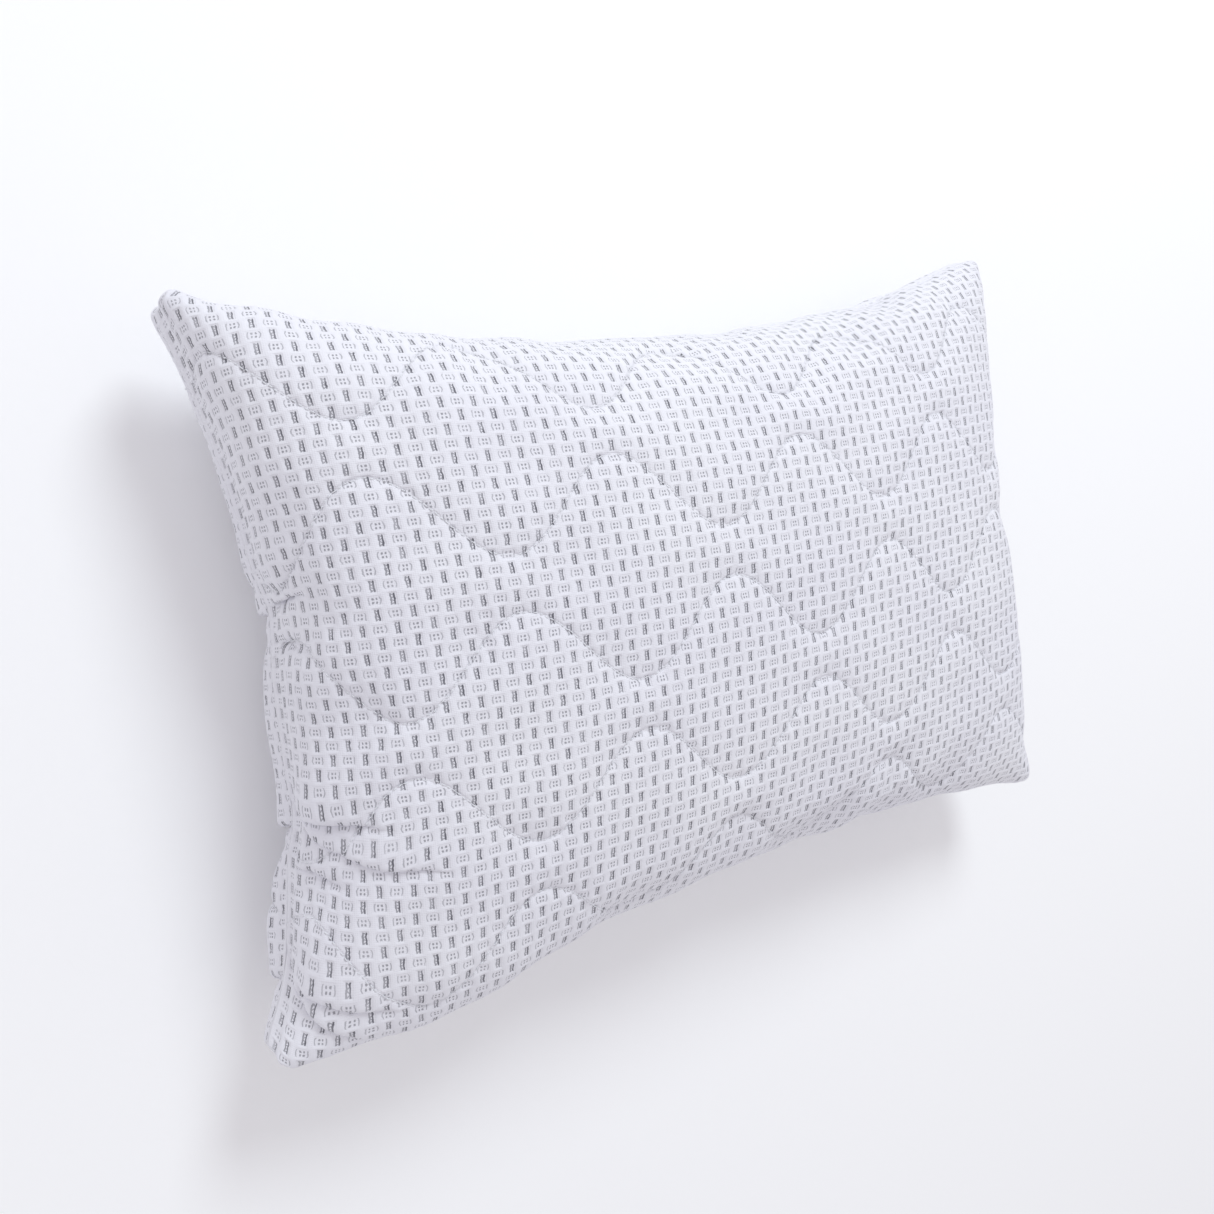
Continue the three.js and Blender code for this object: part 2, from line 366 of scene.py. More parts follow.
# both panels share their border points, so the closed envelope is one mesh
def joinPanels(front, back):
    rows, columns = coarseSize
    inner = np.zeros((rows, columns), bool)
    inner[1:-1, 1:-1] = True
    backIndex = np.arange(rows * columns).reshape(rows, columns)
    backIndex[inner] = rows * columns + np.arange(inner.sum())
    return np.concatenate([front.reshape(-1, 3), back[inner]]), backIndex


# the envelope is blown up a little as cloth whose rest size is that of the flat cut panels, so the edges
# that the filling draws in gather into wrinkles; no point moves further than the cap
def simulateEnvelope(front, back):
    rows, columns = coarseSize
    x, y, edge = flatGrid(coarseSize)
    bumps = waveNoise(x, y, cloth["unevenLength"], 1) * cloth["unevenness"]
    bumps *= smoothStep(*takesHold["unevenness"], edge)
    bumpy = [panel + gridNormals(panel, side) * bumps[..., None] for panel, side in ((front, 1), (back, -1))]
    start, backIndex = joinPanels(*bumpy)
    flatPanel = np.stack([x, y, np.full(x.shape, seamHeight)], -1)
    cut, _ = joinPanels(flatPanel, flatPanel)
    quads = [gridQuads(rows, columns), backIndex.ravel()[gridQuads(rows, columns, flipped=True)]]
    piece = meshObject("envelope", start, quads, bpy.data.materials.new("envelope"))
    piece.shape_key_add(name="Basis")
    restKey = piece.shape_key_add(name="cutPanels")
    restKey.data.foreach_set("co", cut.astype(np.float32).ravel())
    restKey.value = 0
    modifier = piece.modifiers.new("Cloth", "CLOTH")
    settings = modifier.settings
    settings.rest_shape_key = restKey
    for key, value in cloth["solver"].items():
        setattr(settings, key, value)
    settings.effector_weights.gravity = 0
    modifier.collision_settings.use_collision = False
    modifier.point_cache.frame_end = cloth["frames"]
    for number in range(1, cloth["frames"] + 1):
        bpy.context.scene.frame_set(number)
    moved = np.empty(len(start) * 3, dtype=np.float32)
    solved = piece.evaluated_get(bpy.context.evaluated_depsgraph_get()).to_mesh()
    solved.vertices.foreach_get("co", moved)
    bpy.context.scene.frame_set(1)
    bpy.data.objects.remove(piece)
    points, _ = joinPanels(front, back)
    shift = moved.reshape(-1, 3).astype(float) - points
    length = np.linalg.norm(shift, axis=1, keepdims=True)
    print("cloth moved at most", round(float(length.max()) * 1000, 1), "mm, mean",
          round(float(length.mean()) * 1000, 1), "mm")
    # a soft cap: the move tends to the cap as it grows
    shift *= np.tanh(length / cloth["cap"]) * cloth["cap"] / np.maximum(length, 1e-9)
    settled = points + shift
    return settled[:front[..., 0].size].reshape(front.shape), settled[backIndex]


# outward unit normals of a grid of points
def gridNormals(points, side):
    normal = np.cross(np.gradient(points, axis=0), np.gradient(points, axis=1)) * side
    return normal / np.maximum(np.linalg.norm(normal, axis=-1, keepdims=True), 1e-12)


panels = {side: settlePoints(shapeEars(evenGrid(coarseSize, side), side), side) for side in (1, -1)}
# both panels are sewn through the same border points
panels[-1][[0, -1], :] = panels[1][[0, -1], :]
panels[-1][:, [0, -1]] = panels[1][:, [0, -1]]
panels[1], panels[-1] = simulateEnvelope(panels[1], panels[-1])
print("envelope settled")


# cubic (Catmull-Rom) weights that take n points to (n - 1) * steps + 1 points; the ends are
# continued in a straight line
def refineMatrix(n, steps):
    place = np.arange((n - 1) * steps + 1) / steps
    first = np.minimum(place.astype(int), n - 2)
    t = place - first
    weights = np.stack([
        -0.5 * t + t ** 2 - 0.5 * t ** 3,
        1 - 2.5 * t ** 2 + 1.5 * t ** 3,
        0.5 * t + 2 * t ** 2 - 1.5 * t ** 3,
        -0.5 * t ** 2 + 0.5 * t ** 3,
    ])
    padded = np.zeros((len(place), n + 2))
    for k in range(4):
        padded[np.arange(len(place)), first + k] += weights[k]
    matrix = padded[:, 1:-1].copy()
    matrix[:, 0] += 2 * padded[:, 0]
    matrix[:, 1] -= padded[:, 0]
    matrix[:, -1] += 2 * padded[:, -1]
    matrix[:, -2] -= padded[:, -1]
    return matrix


def refineGrid(grid, steps):
    along, across = (refineMatrix(n, steps) for n in grid.shape[:2])
    return np.einsum("ia,jb,abk->ijk", along, across, grid, optimize=True)


quilting = {
    "waveLength": 0.147,
    "waveHeight": 0.052,
    "rowSpacing": 0.084,
    "rowCount": 5,
    "middleRowY": -0.004,
    "firstPeakX": -0.030,
    "rowEndMargin": 10 * mm,
    "channelDepth": 2.4 * mm,
    "channelWidth": 2.6 * mm,
    "hollowDepth": 1.6 * mm,
    "hollowWidth": 12 * mm,
    "puckerHeight": 0.35 * mm,
    "puckerLength": 13 * mm,
    "snapReach": 6 * mm,
    "slack": 0.85,  # in the gathered corner the rows hardly draw the front panel in
    "slackPlace": (-0.322, -0.145),
    "slackReach": (0.046, 0.065),
}


# a row's height over the flat panel, and its slope: its middle line plus half the wave height times a
# cosine; odd and even rows are half a wave apart
def rowLine(x, row):
    fromMiddle = row - (quilting["rowCount"] - 1) / 2
    peak = quilting["firstPeakX"] + fromMiddle * quilting["waveLength"] / 2
    phase = 2 * np.pi * (x - peak) / quilting["waveLength"]
    height = quilting["waveHeight"] / 2
    middle = quilting["middleRowY"] + fromMiddle * quilting["rowSpacing"]
    slope = -height * 2 * np.pi / quilting["waveLength"] * np.sin(phase)
    return middle + height * np.cos(phase), slope


# distance from a flat place to the nearest row, and that row's slope
def rowDistance(x, y):
    distance, nearestSlope = np.full(x.shape, 1.0), np.zeros(x.shape)
    for row in range(quilting["rowCount"]):
        line, slope = rowLine(x, row)
        toRow = np.abs(y - line) / np.sqrt(1 + slope ** 2)
        nearestSlope = np.where(toRow < distance, slope, nearestSlope)
        distance = np.minimum(distance, toRow)
    return distance, nearestSlope


# how far each grid point slides across the panel, so that a grid point lies on each row line and the
# channel has no steps: the line's miss of the nearest point, fading from the line as a bell curve
def snapToRows(x, y, step):
    slide = np.zeros(x.shape)
    for row in range(quilting["rowCount"]):
        line, _ = rowLine(x, row)
        places = (line - y[:, :1]) / step
        miss = (places - np.round(places)) * step
        slide += miss * np.exp(-((y - line) / quilting["snapReach"]) ** 2)
    return slide


# overhanging folds in the panels, in mm: each runs from start to end on the flat panel with a bow to one
# side. The crease is as deep as drop, the panel bulges above it by rise and rolls over it by tuck, and below
# it the panel sinks by sag and is drawn up under the roll by gather
folds = [
    {"side": 1, "start": (-364, -84), "end": (-258, -91), "bow": 6,
     "drop": 6, "sag": 5, "rise": 3, "tuck": 9, "gather": 6},
    {"side": 1, "start": (-326, -98), "end": (-228, -121), "bow": 1,
     "drop": 5, "sag": 4, "rise": 2, "tuck": 8, "gather": 5},
    {"side": 1, "start": (-340, -120), "end": (-294, -129), "bow": 1,
     "drop": 3, "sag": 1, "rise": 2, "tuck": 3, "gather": 1},
    {"side": 1, "start": (-362, 42), "end": (-296, 47), "bow": 0,
     "drop": 5, "sag": 4, "rise": 3, "tuck": 5, "gather": 2},
    {"side": 1, "start": (-352, 22), "end": (-300, 14), "bow": 0,
     "drop": 3, "sag": 1, "rise": 2, "tuck": 2, "gather": 1},
    {"side": 1, "start": (-368, -163), "end": (-282, -222), "bow": -1,
     "drop": 7, "sag": 8, "rise": 3, "tuck": 10, "gather": 3},
    {"side": 1, "start": (-326, -182), "end": (-264, -200), "bow": 2,
     "drop": 5, "sag": 3, "rise": 2, "tuck": 7, "gather": 2},
    {"side": -1, "start": (-360, -95), "end": (-270, -106), "bow": 0,
     "drop": 6, "sag": 6, "rise": 3, "tuck": 6, "gather": 2},
    {"side": -1, "start": (-360, -190), "end": (-290, -204), "bow": 0,
     "drop": 6, "sag": 5, "rise": 3, "tuck": 5, "gather": 1},
    {"side": -1, "start": (-360, 38), "end": (-290, 36), "bow": 0,
     "drop": 5, "sag": 3, "rise": 3, "tuck": 4, "gather": 1},
]
foldReach = {"crease": 2.4 * mm, "lip": 5 * mm, "bulge": 10 * mm, "sag": 15 * mm, "gather": 45 * mm}
foldTaper = {"start": (-0.1, 0.1), "end": (0.45, 1.0)}  # in shares of a fold's length


# how far the folds lift each place and slide it along the panel. By the distance u from a fold's line, the
# crease, the sag and the gather fall off as e to the minus u, and the bulge and the rolled lip go as u times
# e to the 1 - u, each over its own reach. All taper off towards the fold's ends
def foldMoves(x, y, side):
    lift, slide = np.zeros(x.shape), np.zeros(x.shape + (2,))
    for fold in folds:
        if fold["side"] == side:
            start, end = (np.array(fold[k]) * mm for k in ("start", "end"))
            length = np.hypot(*(end - start))
            run = (end - start) / length
            across = np.array((-run[1], run[0]))
            share = ((x - start[0]) * run[0] + (y - start[1]) * run[1]) / length
            offset = (x - start[0]) * across[0] + (y - start[1]) * across[1]
            offset = offset - fold["bow"] * mm * 4 * share * (1 - share)
            taper = smoothStep(*foldTaper["start"], share) * (1 - smoothStep(*foldTaper["end"], share)) * mm
            above, below = np.maximum(offset, 0), np.maximum(-offset, 0)
            crease = np.exp(-np.abs(offset) / foldReach["crease"])
            bulge, lip = above / foldReach["bulge"], above / foldReach["lip"]
            sag = np.where(offset > 0, crease, np.exp(-below / foldReach["sag"]))
            gather = np.where(offset > 0, crease, np.exp(-below / foldReach["gather"]))
            lift += taper * (fold["rise"] * bulge * np.exp(1 - bulge) - fold["drop"] * crease
                             - fold["sag"] * sag)
            roll = fold["gather"] * gather - fold["tuck"] * lip * np.exp(1 - lip)
            slide += across * (taper * roll)[..., None]
    return lift, slide


# the check's cell at a flat place: its two coordinates from -0.5 to 0.5 and whether it holds a dash
def weaveCell(x, y):
    column = (x / shape["cutLength"] + 0.5) * weave["columns"]
    row = (y / shape["cutWidth"] + 0.5) * weave["rows"]
    dash = (np.floor(column) + np.floor(row)) % 2 == 0
    return column % 1 - 0.5, row % 1 - 0.5, dash


# the marks lie in dips, narrow and tall under a dash and wide and low under a light mark, and the plain
# ground between them puffs up into ribs
def weaveRelief(x, y):
    cellX, cellY, dash = weaveCell(x, y)
    wide, tall = np.abs(cellX), np.abs(cellY)
    underDash = (1 - smoothStep(*weave["dashWidth"], wide)) * (1 - smoothStep(*weave["dashHeight"], tall))
    underMark = (1 - smoothStep(*weave["markWidth"], wide)) * (1 - smoothStep(*weave["markHeight"], tall))
    dip = np.where(dash, underDash, weave["markDepth"] * underMark)
    return weave["relief"] * (weave["groundPuff"] - dip)


seamEdge = {
    "lipHeight": 1.0 * mm,
    "lipWidth": 2.5 * mm,
    "dipDepth": 1.6 * mm,  # the stitches draw both panels in just behind the lip
    "dipPlace": 6 * mm,
    "dipWidth": 4 * mm,
}


# lip and dip along the seam by distance to it: two bell curves
def seamProfile(edge):
    lip = seamEdge["lipHeight"] * np.exp(-(edge / seamEdge["lipWidth"]) ** 2)
    dip = seamEdge["dipDepth"] * np.exp(-((edge - seamEdge["dipPlace"]) / seamEdge["dipWidth"]) ** 2)
    return lip - dip


# one panel's fine surface: base has the folds and the seam, plain adds the quilting, and outer adds the
# weave, all along the smooth normals; its flat places and its distances go with it
def coverSurface(side, seed):
    steps = fineness[side]
    base = refineGrid(panels[side], steps)
    normals = refineGrid(gridNormals(panels[side], side), steps)
    normals /= np.linalg.norm(normals, axis=-1, keepdims=True)
    x, y, edge = flatGrid(base.shape[:2])
    step = shape["cutWidth"] / (base.shape[1] - 1)
    slide = snapToRows(x, y, step) * smoothStep(*takesHold["slide"], edge)
    base += np.gradient(base, axis=1) * (slide / step)[..., None]
    y = y + slide
    lift, move = foldMoves(x, y, side)
    steepX, steepY = np.gradient(base, shape["cutLength"] / (base.shape[0] - 1), step, axis=(0, 1))
    kept = smoothStep(*takesHold["folds"], edge)[..., None]
    base += (normals * lift[..., None] + steepX * move[..., :1] + steepY * move[..., 1:]) * kept
    tuckedTip = shape["tipTuck"] * np.exp(-(cornerDistance(x, y) / shape["tipReach"]) ** 2)
    base[..., :2] -= np.stack([np.sign(x), np.sign(y)], -1) * tuckedTip[..., None]
    base += normals * (seamProfile(edge) * smoothStep(*takesHold["seam"], edge))[..., None]
    # each row lies in a sharp channel that falls off as e to the minus distance, within a wide hollow, a
    # bell curve; both draw in less where a row climbs across the panel, and in the gathered corner
    distance, slope = rowDistance(x, y)
    fromSlack = [(at - place) / reach for at, place, reach in zip(
        (x, y), quilting["slackPlace"], quilting["slackReach"])]
    slack = quilting["slack"] * np.exp(-fromSlack[0] ** 2 - fromSlack[1] ** 2) * (side > 0)
    pull = (1 - slack) / (1 + slope ** 2)
    channel = pull * quilting["channelDepth"] * np.exp(-distance / quilting["channelWidth"])
    hollow = pull * quilting["hollowDepth"] * np.exp(-(distance / quilting["hollowWidth"]) ** 2)
    pucker = quilting["puckerHeight"] * waveNoise(x, y, quilting["puckerLength"], seed)
    pucker = pucker * np.exp(-distance / quilting["hollowWidth"])
    ends = smoothStep(*takesHold["quilting"], edge)
    plain = base + normals * ((pucker - channel - hollow) * ends)[..., None]
    outer = plain + normals * (weaveRelief(x, y) * smoothStep(*takesHold["weave"], edge))[..., None]
    for grid in (base, plain, outer):
        grid[..., 2] = np.maximum(grid[..., 2], 0)
    return {"base": base, "plain": plain, "outer": outer, "normals": normals, "x": x, "y": y, "edge": edge,
            "rowDistance": distance}


covers = {1: coverSurface(1, 3), -1: coverSurface(-1, 4)}
print("fine surfaces made")


# knitted polyester jacquard, about 300 g/m2: matt white ground yarn puffed into pads, dark grey floats in
# the dips between them, fuzzy at a grazing angle
knitLook = {
    "ground": "eeeef3",
    "groundShade": "e6e5ee",
    "float": "3c3c49",
    "dashStrength": 0.86,
    "markStrength": 0.60,
    "walesPerColumn": 8,  # wale spacing about 1.2 mm
    "coursesPerRow": 8,  # course spacing about 1.0 mm
    "stitchHeight": 0.055,
    "dipDepth": 0.6,
    "floatDepth": 0.45,
    "relief": (0.75, 0.7 * mm),
    "creaseWidth": 1.5,  # mm each side of a quilting row that is pulled tight
    "creaseDepth": 0.9,
    "clearSeam": (2.0, 5.0),  # mm from the seam over which the marks come in
}

# the marks, in shares of a cell from its middle; a pair is where a part ends and where it is full. Noises
# are a scale in cells and a detail
marks = {
    "sway": 0.13,
    "swayNoise": (3.3, 1.5),
    "barPlace": 0.095,
    "barWidth": (0.066, 0.026),
    "leftBar": 0.74,  # the left bar's strength, as a share of the right one's
    "barSides": (-0.02, 0.06),  # from the left bar's strength to the right one's
    "dashHeight": (0.43, 0.36),
    "slants": 5.0,
    "slantSwing": 0.26,
    "slantWidth": (0.075, 0.02),
    "slantReach": (0.17, 0.12),
    "slantStrength": 0.7,
    "dotPlace": (0.105, 0.13),
    "dotWidth": (0.075, 0.03),
    "dotHeight": (0.10, 0.05),
    "tickPlace": 0.345,
    "tickBow": 0.7,
    "tickWidth": (0.055, 0.02),
    "tickHeight": (0.31, 0.22),
    "tickStrength": 0.72,
    "dashDip": ((0.30, 0.16), (0.52, 0.40)),  # across and along
    "markDip": ((0.48, 0.38), (0.42, 0.28)),
    "markDipDepth": 0.5,
    "fadeNoise": (0.9, 2.0),
    "fade": (0.25, 0.6, 0.72, 1.0),  # some marks are weaker: noise from and to, strength from and to
    "driftNoise": (0.08, 3.0),
}


def knitMaterial():
    material, tree, shader = newMaterial("polyesterJacquardKnit")
    maths, ramp, blend = "ShaderNodeMath", "ShaderNodeMapRange", "ShaderNodeMix"
    plus, minus, times, whole, part, size, most, turn = (
        {"operation": name} for name in
        ("ADD", "SUBTRACT", "MULTIPLY", "FLOOR", "FRACT", "ABSOLUTE", "MAXIMUM", "SINE"))
    smooth = {"interpolation_type": "SMOOTHSTEP"}
    place = addNode(tree, "ShaderNodeUVMap", {"uv_map": "flatPanel"})
    cells = addNode(tree, "ShaderNodeMapping", {}, place, None, None, (weave["columns"], weave["rows"], 1))
    parts = addNode(tree, "ShaderNodeSeparateXYZ", {}, cells)
    column, row = parts.outputs[0], parts.outputs[1]
    across = addNode(tree, maths, minus, addNode(tree, maths, part, column), 0.5)
    along = addNode(tree, maths, minus, addNode(tree, maths, part, row), 0.5)
    count = addNode(tree, maths, plus, addNode(tree, maths, whole, column), addNode(tree, maths, whole, row))
    dashCell = addNode(tree, maths, {"operation": "LESS_THAN"},
                       addNode(tree, maths, {"operation": "MODULO"}, count, 2.0), 0.5)
    markCell = addNode(tree, maths, minus, 1.0, dashCell)
    tall = addNode(tree, maths, size, along)

    # the yarn wanders a little, differently along each float
    wander = addNode(tree, "ShaderNodeTexNoise", {"noise_dimensions": "2D"}, cells, None,
                     *marks["swayNoise"])
    sway = addNode(tree, maths, times, addNode(tree, maths, minus, wander, 0.5), marks["sway"])
    swayed = addNode(tree, maths, plus, across, sway)
    wide = addNode(tree, maths, size, swayed)

    # dark dash: two upright floats, the second one stronger, with short slanting stitches between them
    bars = addNode(tree, maths, size, addNode(tree, maths, minus, wide, marks["barPlace"]))
    bars = addNode(tree, ramp, smooth, bars, *marks["barWidth"])
    right = addNode(tree, ramp, smooth, swayed, *marks["barSides"], marks["leftBar"], 1.0)
    bars = addNode(tree, maths, times, bars, right)
    slants = addNode(tree, maths, times, along, marks["slants"])
    zigzag = addNode(tree, maths, {"operation": "PINGPONG"}, addNode(tree, maths, plus, slants, 10.0), 1.0)
    slant = addNode(tree, maths, times, addNode(tree, maths, minus, zigzag, 0.5), marks["slantSwing"])
    slant = addNode(tree, maths, size, addNode(tree, maths, minus, slant, swayed))
    slant = addNode(tree, ramp, smooth, slant, *marks["slantWidth"])
    between = addNode(tree, ramp, smooth, wide, *marks["slantReach"], 0.0, marks["slantStrength"])
    dash = addNode(tree, maths, most, bars, addNode(tree, maths, times, slant, between))
    dash = addNode(tree, maths, times, dash, addNode(tree, ramp, smooth, tall, *marks["dashHeight"]))
    dash = addNode(tree, maths, times, dash, dashCell)

    # light mark: two by two dots between a pair of bowed upright ticks
    dotX, dotY = (addNode(tree, maths, size, addNode(tree, maths, minus, distance, at))
                  for distance, at in zip((wide, tall), marks["dotPlace"]))
    dots = addNode(tree, maths, times, addNode(tree, ramp, smooth, dotX, *marks["dotWidth"]),
                   addNode(tree, ramp, smooth, dotY, *marks["dotHeight"]))
    bow = addNode(tree, maths, times, addNode(tree, maths, times, along, along), marks["tickBow"])
    bowed = addNode(tree, maths, plus, wide, bow)
    ticks = addNode(tree, maths, size, addNode(tree, maths, minus, bowed, marks["tickPlace"]))
    ticks = addNode(tree, ramp, smooth, ticks, *marks["tickWidth"], 0.0, marks["tickStrength"])
    ticks = addNode(tree, maths, times, ticks, addNode(tree, ramp, smooth, tall, *marks["tickHeight"]))
    mark = addNode(tree, maths, times, addNode(tree, maths, most, dots, ticks), markCell)

    # along the seam the fabric is stretched and turned in, so no marks show
    seam = addNode(tree, "ShaderNodeAttribute", {"attribute_name": "seamDistance"})
    clear = addNode(tree, ramp, smooth, seam.outputs["Fac"], *knitLook["clearSeam"])
    fade = addNode(tree, "ShaderNodeTexNoise", {"noise_dimensions": "2D"}, cells, None,
                   *marks["fadeNoise"])
    fade = addNode(tree, ramp, smooth, fade, *marks["fade"])
    shown = addNode(tree, maths, times, clear, fade)
    dark = addNode(tree, maths, most, addNode(tree, maths, times, dash, knitLook["dashStrength"]),
                   addNode(tree, maths, times, mark, knitLook["markStrength"]))
    dark = addNode(tree, maths, times, dark, shown)

    # the white yarn's own slow change of shade, with the dark yarn over it
    drift = addNode(tree, "ShaderNodeTexNoise", {"noise_dimensions": "2D"}, cells, None,
                    *marks["driftNoise"])
    colour = {"data_type": "RGBA"}
    ground = addNode(tree, blend, colour, drift, None, None, None, None, None,
                     hexColour(knitLook["groundShade"]), hexColour(knitLook["ground"]))
    yarn = addNode(tree, blend, colour, dark, None, None, None, None, None,
                   ground.outputs[2], hexColour(knitLook["float"]))

    # dips under the marks, wales, courses, the tight thread line of each quilting row, and the floats
    dipDash, dipMark = (
        addNode(tree, maths, times, addNode(tree, ramp, smooth, wide, *marks[name][0]),
                addNode(tree, ramp, smooth, tall, *marks[name][1])) for name in ("dashDip", "markDip"))
    dipMark = addNode(tree, maths, times, markCell, dipMark)
    dipMark = addNode(tree, maths, times, dipMark, marks["markDipDepth"])
    dip = addNode(tree, maths, plus, addNode(tree, maths, times, dashCell, dipDash), dipMark)
    wales = addNode(tree, maths, times, column, 2 * math.pi * knitLook["walesPerColumn"])
    courses = addNode(tree, maths, times, row, 2 * math.pi * knitLook["coursesPerRow"])
    knit = addNode(tree, maths, plus, addNode(tree, maths, turn, wales), addNode(tree, maths, turn, courses))
    height = addNode(tree, maths, times, knit, knitLook["stitchHeight"])
    for cut, depth in ((dip, knitLook["dipDepth"]), (dark, knitLook["floatDepth"])):
        height = addNode(tree, maths, minus, height, addNode(tree, maths, times, cut, depth))
    rows = addNode(tree, "ShaderNodeAttribute", {"attribute_name": "rowDistance"})
    tight = addNode(tree, ramp, smooth, rows.outputs["Fac"], 0.0, knitLook["creaseWidth"],
                    -knitLook["creaseDepth"], 0.0)
    height = addNode(tree, maths, plus, height, tight)
    dressShader(tree, shader, yarn.outputs[2], height, knitLook["relief"], {
        "Roughness": 0.92, "Specular IOR Level": 0.25, "Sheen Weight": 0.25, "Sheen Roughness": 0.5})
    return material


# carded polyester wadding: soft, hairy and bluish white, with fibres that show as fine streaks
waddingLook = {"detail": 8.0, "contrast": 0.7, "tangle": 2.5, "relief": (0.8, 1.5 * mm)}


def waddingMaterial(name, shade, light, streaksPerMetre):
    material, tree, shader = newMaterial(name)
    place = addNode(tree, "ShaderNodeTexCoord", {})
    fibres = addNode(tree, "ShaderNodeTexNoise", {}, place.outputs["Object"], None, streaksPerMetre,
                     waddingLook["detail"], waddingLook["contrast"])
    fibres.inputs["Distortion"].default_value = waddingLook["tangle"]
    tone = addNode(tree, "ShaderNodeMix", {"data_type": "RGBA"}, fibres, None, None, None, None, None,
                   hexColour(shade), hexColour(light))
    dressShader(tree, shader, tone.outputs[2], fibres, waddingLook["relief"],
                {"Roughness": 1.0, "Sheen Weight": 0.5})
    return material


# spunbond polypropylene non-woven: a smooth thin felt, thermally bonded in a grid of small dimples, with
# painted shade: the dimples are coloured darker
nonwovenLook = {"pitch": 2.5 * mm, "dimple": (0.12, 0.28), "paintedDimpleShade": "dcdcda", "felt": "ebebe9",
                "relief": (0.6, 0.2 * mm)}


def nonwovenMaterial():
    material, tree, shader = newMaterial("spunbondNonwoven")
    pitch = nonwovenLook["pitch"]
    place = addNode(tree, "ShaderNodeUVMap", {"uv_map": "flatPanel"})
    count = (shape["cutLength"] / pitch, shape["cutWidth"] / pitch, 1)
    grid = addNode(tree, "ShaderNodeMapping", {}, place, None, None, count)
    dimples = addNode(tree, "ShaderNodeTexVoronoi", {"voronoi_dimensions": "2D"}, grid)
    dimples.inputs["Randomness"].default_value = 0.0
    dimples.inputs["Scale"].default_value = 1.0
    depth = addNode(tree, "ShaderNodeMapRange", {"interpolation_type": "SMOOTHSTEP"}, dimples,
                    *nonwovenLook["dimple"])
    # painted shade: the colour is darker in each dimple, as if shadowed
    tone = addNode(tree, "ShaderNodeMix", {"data_type": "RGBA"}, depth, None, None, None, None, None,
                   hexColour(nonwovenLook["paintedDimpleShade"]), hexColour(nonwovenLook["felt"]))
    dressShader(tree, shader, tone.outputs[2], depth, nonwovenLook["relief"], {"Roughness": 0.75})
    return material


# two-ply spun polyester sewing thread: satin white, with the twist as fine slanting ridges, and painted
# shade: a darker colour in the grooves between the plies
threadLook = {"paintedShadeBetweenPlies": 0.8, "relief": (0.6, 0.1 * mm)}


def threadMaterial(name, colour):
    material, tree, shader = newMaterial(name)
    maths = "ShaderNodeMath"
    place = addNode(tree, "ShaderNodeUVMap", {"uv_map": "flatPanel"})
    parts = addNode(tree, "ShaderNodeSeparateXYZ", {}, place)
    turn = addNode(tree, maths, {"operation": "ADD"}, parts.outputs[0], parts.outputs[1])
    ply = addNode(tree, maths, {"operation": "SINE"},
                  addNode(tree, maths, {"operation": "MULTIPLY"}, turn, 2 * math.pi))
    share = addNode(tree, "ShaderNodeMapRange", {}, ply, -1.0, 1.0)
    # painted shade: the colour in the grooves between the plies is darkened, as if shadowed
    paintedPlyShade = tuple(threadLook["paintedShadeBetweenPlies"] * c for c in hexColour(colour)[:3]) + (1.0,)
    tone = addNode(tree, "ShaderNodeMix", {"data_type": "RGBA"}, share, None, None, None, None, None,
                   paintedPlyShade, hexColour(colour))
    dressShader(tree, shader, tone.outputs[2], share, threadLook["relief"],
                {"Roughness": 0.5, "Sheen Weight": 0.2})
    return material


materials = {
    "knit_face_fabric": knitMaterial(),
    "polyester_wadding": waddingMaterial("polyesterWadding", "e6e8ea", "f6f7f8", 160.0),
    "nonwoven_backing": nonwovenMaterial(),
    "fibre_fill": waddingMaterial("siliconisedFibreBalls", "e9e9e6", "fafaf8", 90.0),
    "quilting_thread": threadMaterial("quiltingThread", "eeeff4"),
    "sewing_thread": threadMaterial("seamThread", "f2f2f5"),
}
print("materials made")


def placePiece(piece, slot, fill=None, *nodes):
    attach(piece, "root")
    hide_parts(*nodes)


# a grid's values at any flat places, in a straight line between its points
def sampleGrid(grid, x, y):
    rows, columns = grid.shape[:2]
    i = np.clip((x / shape["cutLength"] + 0.5) * (rows - 1), 0, rows - 1.000001)
    j = np.clip((y / shape["cutWidth"] + 0.5) * (columns - 1), 0, columns - 1.000001)
    a, b = i.astype(int), j.astype(int)
    s, t = (i - a)[..., None], (j - b)[..., None]
    near = grid[a, b] * (1 - t) + grid[a, b + 1] * t
    far = grid[a + 1, b] * (1 - t) + grid[a + 1, b + 1] * t
    return near * (1 - s) + far * s


# faces of a closed shell: an outer grid, an inner grid that may be coarser, and a strip of triangles
# that joins their borders
def shellFaces(outerSize, innerSize, side):
    flipped = side < 0
    start = outerSize[0] * outerSize[1]
    steps = (outerSize[0] - 1) // (innerSize[0] - 1)
    outerRing = gridBorder(*outerSize)
    innerRing = gridBorder(*innerSize, start)
    nextInner = np.roll(innerRing, -1)
    k = np.arange(len(outerRing))
    nearer = np.where(k % steps < steps // 2, innerRing[k // steps], nextInner[k // steps])
    fans = np.stack([np.roll(outerRing, -1), outerRing, nearer], -1)
    middles = outerRing[np.arange(len(innerRing)) * steps + steps // 2]
    closing = np.stack([innerRing, nextInner, middles], -1)
    strip = np.concatenate([fans, closing])
    return [gridQuads(*outerSize, flipped), gridQuads(*innerSize, not flipped, start),
            strip[:, ::-1] if flipped else strip]


rim = {"earMargin": 30 * mm, "earReach": 70 * mm, "seamReach": 15 * mm}  # of the layers inside the cover


